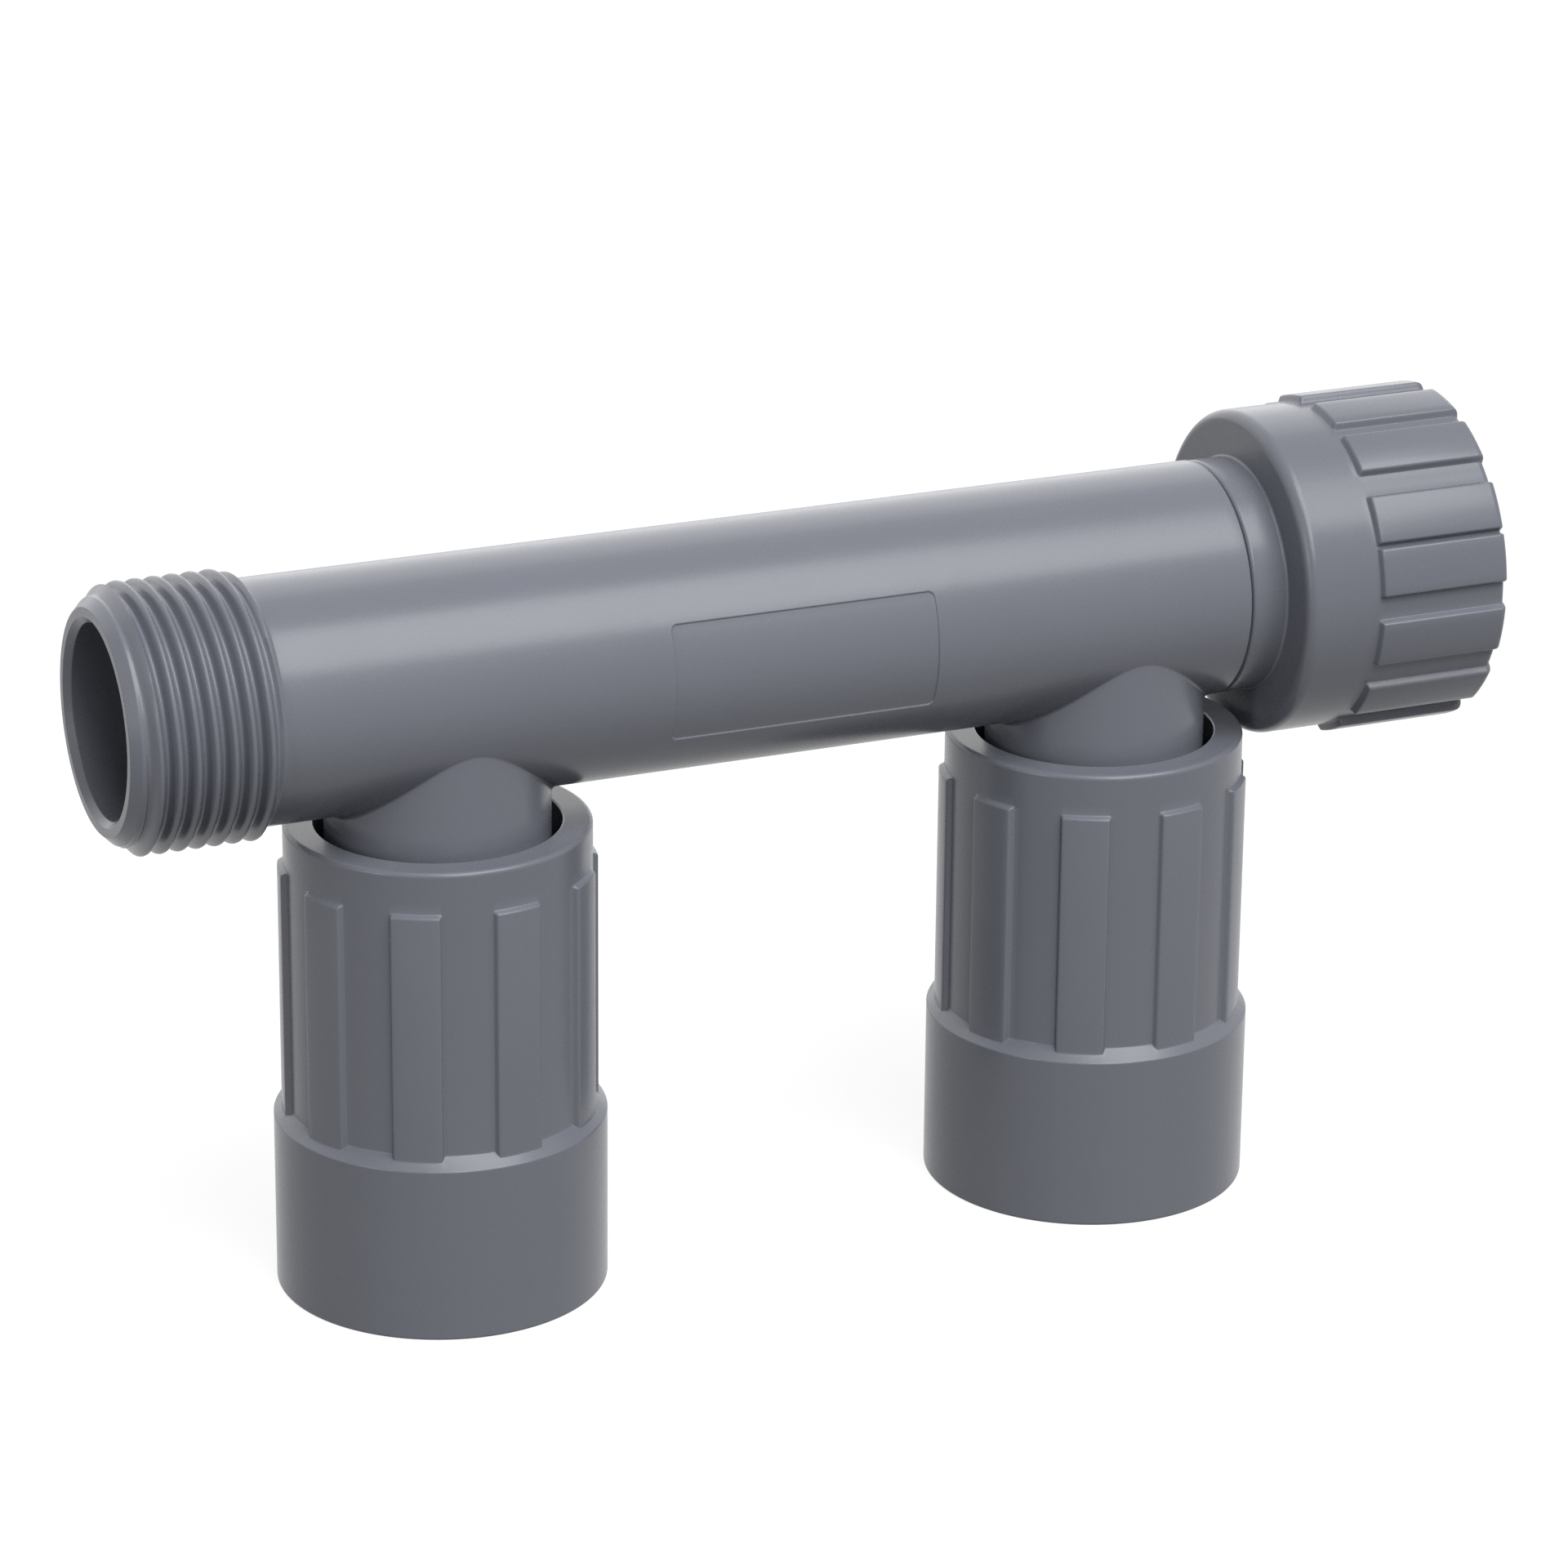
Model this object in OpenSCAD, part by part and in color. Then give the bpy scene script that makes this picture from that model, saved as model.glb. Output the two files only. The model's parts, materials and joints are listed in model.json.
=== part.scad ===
// Irrigation valve manifold: a grey moulded run tube with a male inlet thread, two swivel sockets
// that hang on its necks, and a union nut that swivels on its far end.
// X runs from the inlet thread to the union nut, Z is up, and the label field faces -Y.
// The origin is on the ground midway along the part, and the sockets stand on the ground.

/* [Run tube] */
// Outer diameter of the run tube
tube_d = 30.3; // [29:0.1:32]
// Bore of the run tube
tube_bore = 24; // [16:0.5:25]
// From the inlet's end face to the axis of the first outlet
inlet_reach = 43.5; // [38:0.5:70]
// Distance between the axes of the two outlets
outlet_spacing = 90; // [60:1:160]
// From the axis of the second outlet to the shoulder behind the union nut
shoulder_reach = 14.3; // [14.2:0.1:40]
// Gap under the tube, down to the rims of the sockets
rim_gap = 3.15; // [1:0.05:12]
// Small edge breaks on moulded corners
edge_break = 0.4; // [0.1:0.05:0.6]
// Depth of the flare at the mouth of the inlet's bore
bore_flare = 0.8; // [0.2:0.1:1]

/* [Threads] */
// Major diameter of the one inch pipe thread
thread_major_d = 33.249; // [32.6:0.001:34]
// Minor diameter of the same thread
thread_minor_d = 30.291; // [30:0.001:31]
// Pitch of the thread
thread_pitch = 2.309; // [2:0.001:2.5]
// Number of ridges on the inlet
thread_turns = 7; // [4:1:9]
// From the inlet's end face to its first ridge
thread_lead = 3.1; // [2.5:0.1:5]
// Depth of the chamfer on the inlet's end
nose_chamfer = 1.2; // [0.4:0.1:1.6]
// Length of thread in each outlet socket
socket_thread_l = 22; // [14:0.5:28]
// Depth of the chamfer at the mouth of an inside thread
thread_mouth = 0.9; // [0.4:0.1:1.4]

/* [Label field] */
// Length of the recessed label field along the tube
label_l = 34.7; // [15:0.1:45]
// Height of the label field as seen from the front
label_h = 14.5; // [6:0.1:20]
// Depth of the label field
label_depth = 0.25; // [0.1:0.05:0.6]
// Corner radius of the label field
label_corner = 1.3; // [0.5:0.1:3]
// Offset of the label field from the middle of the outlets
label_shift = -1.8; // [-4:0.1:4]

/* [Swivel joints] */
// Outer diameter of the outlet necks and of the union spigot
neck_d = 28.1; // [27:0.05:28.3]
// Bore of the outlet necks
neck_bore = 22; // [14:0.5:23]
// Radial running clearance between a neck and the lip that turns on it
run_clear = 0.08; // [0.04:0.01:0.1]
// Axial play of a swivelling piece
end_play = 0.15; // [0.1:0.05:0.3]
// Thickness of the lip inside an outlet socket
lip_t = 3.5; // [2.5:0.1:5]
// Thickness of the split snap ring
ring_t = 1.9; // [1.2:0.1:2.5]
// Depth of the snap ring's groove
groove_depth = 0.8; // [0.5:0.1:1.4]
// Radial clearance between the snap ring and the bottom of its groove
ring_fit = 0.05; // [0.02:0.01:0.1]
// Gap of the split in the snap ring
ring_split = 2.5; // [1:0.1:5]
// Length of neck past the snap ring
neck_land = 2.6; // [1.5:0.1:4]
// Thickness of the flat gasket
gasket_t = 2.8; // [1.5:0.1:4]
// Free room between the gasket and the top of the thread
chamber_room = 0.4; // [0.2:0.1:1]
// Radial clearance of ring, bead and gasket inside the thread
pass_clear = 0.25; // [0.1:0.05:0.4]
// Thickness of the bead that stops a socket's lip from above
bead_t = 1.6; // [1:0.1:3]

/* [Outlet sockets] */
// Overall height of an outlet socket
socket_h = 61.2; // [50:0.2:80]
// Outer diameter of the socket's gripped part
socket_d = 38.3; // [36:0.1:38.4]
// Outer diameter of the collar round the thread
collar_d = 41.8; // [41:0.1:48]
// Height of the collar
collar_h = 23.8; // [16:0.2:30]
// Width of the open rim around the neck
rim_bore = 30.7; // [30.5:0.1:33]
// Radius that rounds the rim's outer edge
rim_round = 0.8; // [0.2:0.1:1.5]
// Radius that rounds the collar's top edge
collar_round = 1.2; // [0.3:0.1:1.4]
// Number of grip ribs on a socket
socket_ribs = 10; // [6:1:14]
// Height of a rib above the socket
socket_rib_rise = 0.6; // [0.3:0.05:1]
// From the rim down to the top of the ribs
rib_drop = 5.5; // [3:0.1:12]
// Angle of the first rib from the front, toward the union nut
socket_rib_turn = -28.5; // [-36:0.5:36]
// Width of a grip rib
rib_w = 6.1; // [3:0.1:7]

/* [Union nut] */
// Outer diameter of the nut
nut_d = 42; // [40:0.1:48]
// Length of the nut's body
nut_l = 28.2; // [26:0.1:45]
// Length of the hub behind the nut's body
hub_l = 4.9; // [4.8:0.1:8]
// Outer diameter of the hub
hub_d = 30.1; // [30:0.1:32]
// Width of the visible seam between tube and hub
seam_w = 0.25; // [0.2:0.05:0.5]
// Edge break on the tube's side of the seam
seam_break = 0.15; // [0.05:0.05:0.5]
// Thickness of the nut's back wall
back_wall_t = 4; // [3:0.1:6]
// Radius that rounds the nut's shoulder
shoulder_round = 1.5; // [0.5:0.1:3]
// Radius that rounds the nut's open end
nut_end_round = 0.9; // [0.3:0.1:1.2]
// Smooth band between the nut's back face and its ribs
nut_band = 10.2; // [6:0.1:16]
// Height of a rib above the nut
nut_rib_rise = 0.92; // [0.4:0.02:1.2]

/* [Hidden] */
$fn = 96;
plastic_grey = [0.42, 0.43, 0.47];
nut_grey = [0.40, 0.41, 0.45];
ring_ivory = [0.86, 0.84, 0.78];
gasket_black = [0.10, 0.10, 0.11];
over = 1;

// Angles of the nut's ribs from the front, toward the top: the front ones are unevenly spaced
nut_front_ribs = [105, 79.8, 57.5, 31.7, 13.5, -12, -38.6];
nut_back_rib_first = -66;
nut_back_rib_step = -27;
nut_back_rib_count = 7;
nut_rib_angles = concat(nut_front_ribs,
    [for (i = [0:nut_back_rib_count - 1]) nut_back_rib_first + i * nut_back_rib_step]);

// Whitworth form: a sixth of the triangle's height is cut off at crest and root
flank_angle = 27.5;
thread_depth = (thread_major_d - thread_minor_d) / 2;
flank_run = thread_depth * tan(flank_angle);
crest_flat = (thread_pitch - 2 * flank_run) / 2;

// Heights above the ground
axis_h = socket_h + rim_gap + tube_d / 2;
chamber_l = end_play + ring_t + neck_land + gasket_t + chamber_room;
lip_z = socket_thread_l + chamber_l;
bead_z = lip_z + lip_t + end_play / 2;
groove_top_z = lip_z - end_play / 2;
neck_end_z = groove_top_z - ring_t - neck_land;

// Places along the run, measured from the inlet's end face
outlet_s = [inlet_reach, inlet_reach + outlet_spacing];
shoulder_s = outlet_s[1] + shoulder_reach;
nut_s = shoulder_s + seam_w;
nut_full_l = hub_l + nut_l;
lip_end_s = nut_s + hub_l + back_wall_t;
spigot_groove_s = lip_end_s + end_play;
spigot_end_s = spigot_groove_s + ring_t + neck_land;
run_l = nut_s + nut_full_l;
function run_x(s) = s - run_l / 2;

// Shared diameters of what passes through the thread
pass_d = thread_minor_d - 2 * pass_clear;
lip_bore = neck_d + 2 * run_clear;
groove_d = neck_d - 2 * groove_depth;
chamber_d = thread_minor_d + 2 * pass_clear;

// Points of a quarter round from one direction to another about a centre
function arc(centre, r, from, to, steps = 6) =
    [for (i = [0:steps])
        centre + r * [cos(from + (to - from) * i / steps), sin(from + (to - from) * i / steps)]];

// Turns a body drawn upright onto the run's axis, starting s along the run
module on_run(s = 0) {
    translate([run_x(s), 0, axis_h]) rotate([0, 90, 0]) children();
}

// Outer outline of the inlet's nose and thread, as radius and distance from the end face
function nose_points() = [
    [0, 0],
    [thread_minor_d / 2 - nose_chamfer, 0],
    [thread_minor_d / 2, nose_chamfer]];
function ridge_points(s) = [
    [thread_minor_d / 2, s - crest_flat / 2 - flank_run],
    [thread_major_d / 2, s - crest_flat / 2],
    [thread_major_d / 2, s + crest_flat / 2],
    [thread_minor_d / 2, s + crest_flat / 2 + flank_run]];
function thread_points() = [
    for (i = [0:thread_turns - 1])
        for (p = ridge_points(thread_lead + i * thread_pitch)) p];
thread_end_s = thread_lead + thread_turns * thread_pitch;

// Outline of the tube from the thread to the shoulder, and of the spigot past it
function tube_points() = [
    [thread_minor_d / 2, thread_end_s - crest_flat],
    [tube_d / 2, thread_end_s],
    [tube_d / 2, shoulder_s - seam_break],
    [tube_d / 2 - seam_break, shoulder_s],
    [neck_d / 2, shoulder_s]];
function spigot_points() = [
    [neck_d / 2, spigot_groove_s],
    [groove_d / 2, spigot_groove_s],
    [groove_d / 2, spigot_groove_s + ring_t],
    [neck_d / 2, spigot_groove_s + ring_t],
    [neck_d / 2, spigot_end_s - edge_break],
    [neck_d / 2 - edge_break, spigot_end_s],
    [0, spigot_end_s]];

// Outline of an outlet neck, as radius and height above the ground
function neck_points() = [
    [0, neck_end_z],
    [neck_d / 2 - edge_break, neck_end_z],
    [neck_d / 2, neck_end_z + edge_break],
    [neck_d / 2, groove_top_z - ring_t],
    [groove_d / 2, groove_top_z - ring_t],
    [groove_d / 2, groove_top_z],
    [neck_d / 2, groove_top_z],
    [neck_d / 2, bead_z],
    [pass_d / 2, bead_z],
    [pass_d / 2, bead_z + bead_t],
    [neck_d / 2, bead_z + bead_t],
    [neck_d / 2, axis_h],
    [0, axis_h]];

// Rounded rectangle about the origin
module rounded_field(l, h, r) {
    square([l - 2 * r, h], center = true);
    square([l, h - 2 * r], center = true);
    for (x = [-1, 1])
        for (y = [-1, 1])
            translate([x * (l / 2 - r), y * (h / 2 - r)]) circle(r = r);
}

// Cutter for the label field: it follows the tube's surface at an even depth
module label_cutter() {
    label_s = (outlet_s[0] + outlet_s[1]) / 2 + label_shift;
    difference() {
        translate([run_x(label_s), 0, axis_h])
            rotate([90, 0, 0])
                linear_extrude(height = tube_d) rounded_field(label_l, label_h, label_corner);
        on_run() cylinder(d = tube_d - 2 * label_depth, h = run_l);
    }
}

// Run tube with its inlet thread, two necks and the union spigot, moulded in one
module manifold_body() {
    color(plastic_grey) difference() {
        union() {
            on_run() rotate_extrude()
                polygon(concat(nose_points(), thread_points(), tube_points(), spigot_points()));
            for (s = outlet_s)
                translate([run_x(s), 0, 0]) rotate_extrude() polygon(neck_points());
        }
        on_run(-over) cylinder(d = tube_bore, h = spigot_end_s + 2 * over);
        on_run(-over) cylinder(d1 = tube_bore + 2 * (bore_flare + over), d2 = tube_bore,
                               h = bore_flare + over);
        for (s = outlet_s)
            translate([run_x(s), 0, neck_end_z - over])
                cylinder(d = neck_bore, h = axis_h - neck_end_z + over);
        label_cutter();
    }
}

// Grip ribs for an upright body: flat-sided pads under a round outer face
module ribs(angles, core_d, rise, z, h, end_round = 0) {
    rib_r = core_d / 2 + rise;
    intersection() {
        translate([0, 0, z]) rotate_extrude() polygon(concat(
            [[0, 0], [rib_r, 0]],
            end_round > 0 ? arc([rib_r - end_round, h - end_round], end_round, 0, 90) : [[rib_r, h]],
            [[0, h]]));
        for (a = angles)
            rotate([0, 0, a]) translate([0, -rib_w / 2, z])
                cube([rib_r + over, rib_w, h]);
    }
}

// Inside of a swivelling piece, from its mouth upward: thread, chamber, lip and the space past it
function swivel_bore_points(thread_l, lip_l, past_d, past_l) = [
    [0, -over],
    [thread_minor_d / 2 + thread_mouth + over, -over],
    [thread_minor_d / 2, thread_mouth],
    [thread_minor_d / 2, thread_l],
    [chamber_d / 2, thread_l + pass_clear],
    [chamber_d / 2, thread_l + chamber_l],
    [lip_bore / 2, thread_l + chamber_l],
    [lip_bore / 2, thread_l + chamber_l + lip_l],
    [past_d / 2, thread_l + chamber_l + lip_l],
    [past_d / 2, thread_l + chamber_l + lip_l + past_l],
    [0, thread_l + chamber_l + lip_l + past_l]];

// Outer outline of an outlet socket: collar below, gripped part above
function socket_points() = concat(
    [[0, 0], [collar_d / 2 - edge_break, 0], [collar_d / 2, edge_break]],
    arc([collar_d / 2 - collar_round, collar_h - collar_round], collar_round, 0, 90),
    [[socket_d / 2, collar_h]],
    arc([socket_d / 2 - rim_round, socket_h - rim_round], rim_round, 0, 90),
    [[0, socket_h]]);

// Swivel socket that hangs on a neck and turns freely round it
module swivel_socket(s) {
    rib_angles = [for (i = [0:socket_ribs - 1]) socket_rib_turn - 90 + i * 360 / socket_ribs];
    past_l = socket_h - lip_z - lip_t + over;
    color(nut_grey) translate([run_x(s), 0, 0]) difference() {
        union() {
            rotate_extrude() polygon(socket_points());
            ribs(rib_angles, socket_d, socket_rib_rise,
                 collar_h - collar_round, socket_h - rib_drop - collar_h + collar_round);
        }
        rotate_extrude()
            polygon(swivel_bore_points(socket_thread_l, lip_t, rim_bore, past_l));
    }
}

// Union nut with its hub, drawn from its open end back toward the tube
nut_thread_l = nut_full_l - hub_l - back_wall_t - chamber_l;
function nut_points() = concat(
    [[0, 0]],
    arc([nut_d / 2 - nut_end_round, nut_end_round], nut_end_round, -90, 0),
    arc([nut_d / 2 - shoulder_round, nut_l - shoulder_round], shoulder_round, 0, 90),
    [[hub_d / 2, nut_l],
     [hub_d / 2, nut_full_l - edge_break],
     [hub_d / 2 - edge_break, nut_full_l],
     [0, nut_full_l]]);

module union_nut() {
    rib_l = nut_l - nut_band;
    color(nut_grey) on_run(run_l) rotate([180, 0, 0]) difference() {
        union() {
            rotate_extrude() polygon(nut_points());
            translate([0, 0, rib_l]) rotate([180, 0, 0])
                ribs([for (a = nut_rib_angles) -90 - a], nut_d, nut_rib_rise, 0, rib_l, nut_end_round);
        }
        rotate_extrude()
            polygon(swivel_bore_points(nut_thread_l, hub_l + back_wall_t, lip_bore, over));
    }
}

// Split snap ring that sits in a groove and holds a lip on its neck
module snap_ring() {
    color(ring_ivory) difference() {
        cylinder(d = pass_d, h = ring_t);
        translate([0, 0, -over]) cylinder(d = groove_d + 2 * ring_fit, h = ring_t + 2 * over);
        translate([0, -ring_split / 2, -over]) cube([pass_d, ring_split, ring_t + 2 * over]);
    }
}

// Flat gasket that lies against the end of a neck
module gasket(bore) {
    color(gasket_black) difference() {
        cylinder(d = pass_d, h = gasket_t);
        translate([0, 0, -over]) cylinder(d = bore, h = gasket_t + 2 * over);
    }
}

module outlet_ring(s) {
    translate([run_x(s), 0, groove_top_z - ring_t]) rotate([0, 0, 90]) snap_ring();
}

module outlet_gasket(s) {
    translate([run_x(s), 0, neck_end_z - gasket_t]) gasket(neck_bore);
}

manifold_body();
swivel_socket(outlet_s[0]);  // left_swivel_socket
outlet_ring(outlet_s[0]);  // left_snap_ring
outlet_gasket(outlet_s[0]);  // left_gasket
swivel_socket(outlet_s[1]);  // right_swivel_socket
outlet_ring(outlet_s[1]);  // right_snap_ring
outlet_gasket(outlet_s[1]);  // right_gasket
union_nut();
on_run(spigot_groove_s) snap_ring();  // union_snap_ring
on_run(spigot_end_s) gasket(tube_bore);  // union_gasket
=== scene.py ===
"""Irrigation valve manifold: a run tube with a male pipe thread, two swivel sockets and a union nut.

The file is laid out as an add-on and is run as a script. Lengths are in metres, in the packed model's
frame: X runs from the inlet thread to the union nut, Z is up and the label field faces -Y.
"""
import json
import math

import bmesh
import bpy
import numpy as np
from bpy.props import FloatProperty, FloatVectorProperty, IntProperty, PointerProperty
from mathutils import Matrix, Vector


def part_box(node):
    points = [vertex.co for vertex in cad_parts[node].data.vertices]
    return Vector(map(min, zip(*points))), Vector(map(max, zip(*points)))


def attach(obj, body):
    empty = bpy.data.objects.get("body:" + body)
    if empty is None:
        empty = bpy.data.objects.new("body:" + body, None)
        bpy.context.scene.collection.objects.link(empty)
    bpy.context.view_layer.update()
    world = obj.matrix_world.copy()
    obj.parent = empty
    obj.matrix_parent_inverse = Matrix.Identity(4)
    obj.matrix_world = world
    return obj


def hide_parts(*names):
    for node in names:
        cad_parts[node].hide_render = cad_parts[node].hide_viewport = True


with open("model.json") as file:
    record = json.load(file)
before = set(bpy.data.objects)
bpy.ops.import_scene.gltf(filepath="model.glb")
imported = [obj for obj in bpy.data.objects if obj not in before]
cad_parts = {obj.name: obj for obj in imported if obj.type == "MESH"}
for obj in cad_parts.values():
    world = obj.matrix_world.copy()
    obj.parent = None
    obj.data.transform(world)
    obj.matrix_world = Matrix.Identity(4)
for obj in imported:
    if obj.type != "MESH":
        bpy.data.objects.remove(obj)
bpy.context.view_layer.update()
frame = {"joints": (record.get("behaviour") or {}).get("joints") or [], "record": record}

bl_info = {
    "name": "Irrigation valve manifold",
    "version": (1, 0, 0),
    "blender": (4, 5, 0),
    "location": "View3D > Sidebar > Manifold",
    "description": "Builds a moulded valve manifold with threads, swivel sockets and a union nut",
    "category": "Add Mesh",
}

MM = 0.001
FULL_TURN = 2 * math.pi

# Places that the packed model gives
JOINTS = {joint["name"]: joint for joint in frame["joints"]}
MOUNTS = {mount["name"]: mount for mount in frame["record"]["mounts"]}
AXIS_Z = JOINTS["union_nut_swivel"]["pos_m"][2]
OUTLET_X = {
    "left": JOINTS["left_socket_swivel"]["pos_m"][0],
    "right": JOINTS["right_socket_swivel"]["pos_m"][0],
}
RUN_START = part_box("manifold_body")[0].x
SPIGOT_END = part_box("manifold_body")[1].x
NUT_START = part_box("union_nut")[0].x
NUT_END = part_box("union_nut")[1].x
SOCKET_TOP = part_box("left_swivel_socket")[1].z
OUTLET_GROOVE = [corner.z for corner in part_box("left_snap_ring")]
OUTLET_GASKET = [corner.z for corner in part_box("left_gasket")]
SPIGOT_GROOVE = [corner.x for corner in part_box("union_snap_ring")]
SPIGOT_GASKET = [corner.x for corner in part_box("union_gasket")]
THREAD_MAJOR_R = MOUNTS["inlet_thread"]["dims"]["r_mm"] * MM
THREAD_MINOR_R = MOUNTS["union_socket"]["dims"]["r_mm"] * MM


def size(name, description, millimetres):
    """A length that the user may change, with its default given in millimetres."""
    return FloatProperty(
        name=name, description=description, default=millimetres * MM, min=0.0,
        precision=5, subtype="DISTANCE", unit="LENGTH",
    )


def degrees(name, description, angle):
    """An angle that the user may change, with its default given in degrees."""
    return FloatProperty(
        name=name, description=description, default=math.radians(angle),
        subtype="ANGLE", unit="ROTATION",
    )


def shade(name, description, colour):
    """A colour that the user may change."""
    return FloatVectorProperty(
        name=name, description=description, default=colour, size=3, min=0, max=1,
        subtype="COLOR",
    )


def lamp_power(name, description, watts):
    """The power of a lamp, which the user may change."""
    return FloatProperty(
        name=name, description=description, default=watts, min=0, subtype="POWER", unit="POWER",
    )


class RunSizes(bpy.types.PropertyGroup):
    """Sizes of the run tube, its thread, its necks and its label field."""

    tube_d: size("Tube", "Outer diameter of the run tube", 30.3)
    bore_d: size("Bore", "Bore of the run tube", 24)
    bore_flare: size("Bore flare", "Depth of the flare at the inlet's mouth", 0.8)
    nose_chamfer: size("Nose chamfer", "Depth of the chamfer on the inlet's end", 1.2)
    thread_pitch: size("Thread pitch", "Pitch of the one inch pipe thread", 2.309)
    thread_lead: size("Thread lead", "From the end face to the first crest, in front", 3.1)
    thread_cone: size("Thread cone", "Length of the cone that cuts the first turn", 1.3)
    thread_length: size("Thread length", "From the end face to the end of the thread", 19.26)
    thread_fade: size("Thread run-out", "Length over which the last turn runs out", 1.5)
    shoulder_gap: size("Seam", "Seam between the tube's shoulder and the nut's hub", 0.25)
    shoulder_break: size("Shoulder break", "Rounding of the tube's edge at the seam", 0.15)
    neck_d: size("Neck", "Outer diameter of the necks and of the spigot", 28.1)
    neck_bore: size("Neck bore", "Bore of the necks", 22)
    neck_blend: size("Neck blend", "Radius of the blend between tube and neck", 0.7)
    groove_depth: size("Groove", "Depth of the snap ring's groove", 0.8)
    bead_rise: size("Bead", "Height of the bead round a neck", 0.8455)
    bead_low: size("Bead foot", "Height of the bead's lower face above the ground", 33.425)
    bead_t: size("Bead thickness", "Thickness of the bead", 1.6)
    label_l: size("Label length", "Length of the label field along the tube", 35.4)
    label_h: size("Label height", "Height of the label field seen from the front", 15)
    label_depth: size("Label depth", "Depth of the label field", 0.2)
    label_corner: size("Label corner", "Corner radius of the label field", 0.9)
    label_lift: size("Label lift", "Height of the label's middle above the tube's axis", 0.27)
    label_shift: size("Label shift", "From the label's middle to the middle of the outlets", 1.8)


class SocketSizes(bpy.types.PropertyGroup):
    """Sizes of an outlet socket."""

    body_d: size("Body", "Outer diameter of the gripped part", 38.3)
    collar_d: size("Collar", "Outer diameter of the collar round the mouth", 41.8)
    collar_h: size("Collar height", "Height at which the collar's top meets the body", 24.1)
    collar_fall: size("Collar fall", "How far the collar's top slopes down to its edge", 1.43)
    collar_round: size("Collar round", "Rounding of the collar's upper edge", 0.3)
    foot_break: size("Foot break", "Rounding of the collar's lower edge", 0.4)
    rim_bore: size("Rim bore", "Width of the open rim round the neck", 30.7)
    rim_round: size("Rim round", "Radius that rounds the rim's outer edge", 0.6)
    rib_rise: size("Rib rise", "Height of a rib above the body", 0.73)
    rib_drop: size("Rib drop", "From the rim down to the top of the ribs", 5.5)
    rib_w: size("Rib width", "Width of a rib", 6.1)
    rib_count: IntProperty(name="Ribs", description="Number of ribs", default=10, min=5)
    rib_turn: degrees("Rib turn", "Angle of the middle one of the five front ribs", -28.6)
    rib_pitch: degrees("Rib pitch", "Angle between two of the five front ribs", 38.3)
    lip_low: size("Lip foot", "Height of the lip's lower face above the ground", 29.85)
    lip_t: size("Lip thickness", "Thickness of the lip that turns on the neck", 3.5)
    lip_bore: size("Lip bore", "Bore of the lip", 28.26)
    chamber_d: size("Chamber", "Diameter of the chamber that holds ring and gasket", 30.791)
    thread_top: size("Thread top", "Height of the upper end of the thread", 22)
    mouth_chamfer: size("Mouth chamfer", "Depth of the chamfer at the mouth", 0.9)


class NutSizes(bpy.types.PropertyGroup):
    """Sizes of the union nut."""

    body_d: size("Body", "Outer diameter of the nut", 42)
    body_l: size("Body length", "Length of the nut without its hub", 28.2)
    hub_d: size("Hub", "Outer diameter of the hub", 30.1)
    hub_break: size("Hub break", "Rounding of the hub's edge at the seam", 0.6)
    hub_blend: size("Hub blend", "Blend between the hub and the back face", 0.35)
    shoulder_round: size("Shoulder round", "Radius that rounds the nut's shoulder", 1.5)
    end_round: size("End round", "Radius that rounds the open end", 0.9)
    band: size("Band", "Smooth band between the back face and the ribs", 10.2)
    rib_rise: size("Rib rise", "Height of a rib above the nut", 0.92)
    rib_w: size("Rib width", "Width of a rib", 6.1)
    back_wall_t: size("Back wall", "Thickness of the back wall", 4)
    lip_bore: size("Lip bore", "Bore of the lip that turns on the spigot", 28.26)
    chamber_d: size("Chamber", "Diameter of the chamber that holds ring and gasket", 30.791)
    thread_length: size("Thread length", "From the open end to the inner end of the thread", 16.35)
    mouth_chamfer: size("Mouth chamfer", "Depth of the chamfer at the mouth", 0.9)


class RingSizes(bpy.types.PropertyGroup):
    """Sizes of the snap rings and gaskets."""

    outer_d: size("Outer diameter", "Outer diameter of rings and gaskets", 29.791)
    ring_bore: size("Ring bore", "Inner diameter of a snap ring", 26.6)
    split: size("Split", "Gap of a snap ring's split", 2.5)
    edge_round: size("Edge round", "Rounding of a snap ring's edges", 0.25)
    outlet_bore: size("Outlet bore", "Bore of an outlet gasket", 22)
    union_bore: size("Union bore", "Bore of the union gasket", 24)
    gasket_round: size("Gasket round", "Rounding of a gasket's edges", 0.2)


class FinishSettings(bpy.types.PropertyGroup):
    """Colours and surface of the materials."""

    body_colour: shade("Body plastic", "Colour of the manifold's plastic", (0.144, 0.151, 0.179))
    nut_colour: shade("Nut plastic", "Colour of the sockets and the nut", (0.138, 0.145, 0.171))
    ring_colour: shade("Snap ring", "Colour of the snap rings", (0.78, 0.74, 0.62))
    gasket_colour: shade("Gasket", "Colour of the gaskets", (0.030, 0.030, 0.032))
    plastic_roughness: FloatProperty(
        name="Plastic roughness", description="Roughness of the moulded plastic",
        default=0.27, min=0, max=1, subtype="FACTOR",
    )
    grain_size: size("Grain size", "Size of the moulded plastic's fine grain", 0.22)
    grain_height: size("Grain height", "Height of that grain", 0.006)


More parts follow.
